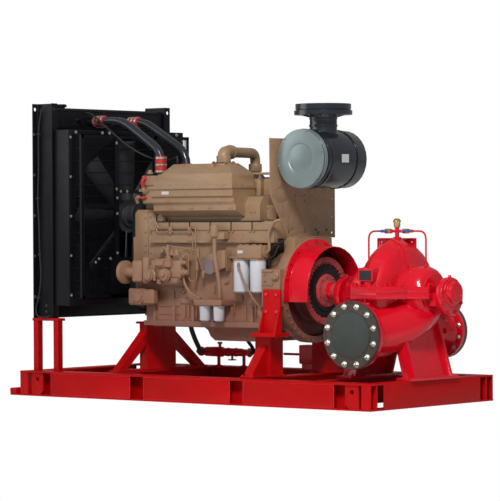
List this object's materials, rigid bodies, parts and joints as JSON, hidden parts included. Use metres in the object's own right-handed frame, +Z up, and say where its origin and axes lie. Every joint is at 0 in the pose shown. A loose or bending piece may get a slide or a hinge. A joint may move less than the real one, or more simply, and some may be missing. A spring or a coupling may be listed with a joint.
{
  "type": "diesel fire pump set",
  "caption": "Skid mounted split case water pump driven by an inline diesel engine with its radiator, air cleaner, filters, coupling guard and supports.",
  "frame": {"origin": "bottom centre of the whole set's box, on the ground", "axes": "+X along the skid from the radiator to the pump, +Y to the discharge side, +Z up"},
  "size_m": [3.681, 1.494, 2.2325],
  "materials": {
    "red": "gloss enamel",
    "engine": "semi-gloss engine enamel",
    "black": "semi-gloss",
    "grey": "semi-gloss",
    "iron": "bare machined and cast",
    "white": "gloss",
    "cleaner": "gloss",
    "silver": "satin",
    "rubber": "matt",
    "brass": "bare",
    "blue": "satin"
  },
  "bodies": {
    "set": {"aftercooler_housing": "engine", "air_cleaner": "cleaner", "air_cleaner_cover": "silver", "bearing_housing_drive": "red", "bearing_housing_end": "red", "breather": "grey", "cleaner_plate": "engine", "control_box": "grey", "coolant_pipe_far": "grey", "coolant_pipe_near": "grey", "coupling_guard": "red", "cross_member_engine_front": "red", "cross_member_engine_rear": "red", "cross_member_pump": "red", "crossover_pipe": "engine", "cylinder_heads": "engine", "discharge_flange": "iron", "drag_bar": "red", "end_beam_pump": "red", "end_beam_radiator": "red", "engine_block": "engine", "exhaust_manifold_turbo": "iron", "fan_belt": "rubber", "fan_guard": "black", "fan_shroud": "black", "flywheel_housing": "engine", "front_support": "red", "fuel_filters": "grey", "fuel_pump": "engine", "gear_housing": "engine", "heater_line": "red", "intake_duct": "black", "junction_box": "red", "oil_filters": "white", "oil_pan": "engine", "pump_lower_casing": "red", "pump_upper_casing": "red", "radiator_bottom_tank": "black", "radiator_core": "black", "radiator_post_far": "black", "radiator_post_near": "black", "radiator_stand_far": "red", "radiator_stand_near": "red", "radiator_top_tank": "black", "rear_support_far": "red", "rear_support_near": "red", "skid_beam_far": "red", "skid_beam_near": "red", "suction_flange": "iron", "thermostat_housing": "engine", "vent_hose": "rubber", "vent_pipework": "brass"},
    "drive": {"crank_pulley": "black", "flywheel": "red", "coupling_element": "rubber", "pump_shaft": "iron"},
    "fan_body": {"fan": "grey", "fan_pulley": "black"},
    "lever_drive": {"vent_lever_drive": "blue"},
    "lever_end": {"vent_lever_end": "blue"}
  },
  "joints": [
    {"name": "drive_spin", "type": "hinge", "parent": "set", "child": "drive", "pos_m": [0, 0, 0.812], "axis": [1, 0, 0], "continuous": true},
    {"name": "fan_spin", "type": "hinge", "parent": "set", "child": "fan_body", "pos_m": [0, 0, 1.37], "axis": [1, 0, 0], "continuous": true},
    {"name": "lever_drive_turn", "type": "hinge", "parent": "set", "child": "lever_drive", "pos_m": [1.2375, 0, 1.2483], "axis": [0, 1, 0], "range_deg": [0, 90]},
    {"name": "lever_end_turn", "type": "hinge", "parent": "set", "child": "lever_end", "pos_m": [1.3935, 0, 1.2483], "axis": [0, -1, 0], "range_deg": [0, 90]}
  ],
  "couplings": [
    {"joint": "fan_spin", "follows": "drive_spin", "ratio": 1.2727}
  ]
}
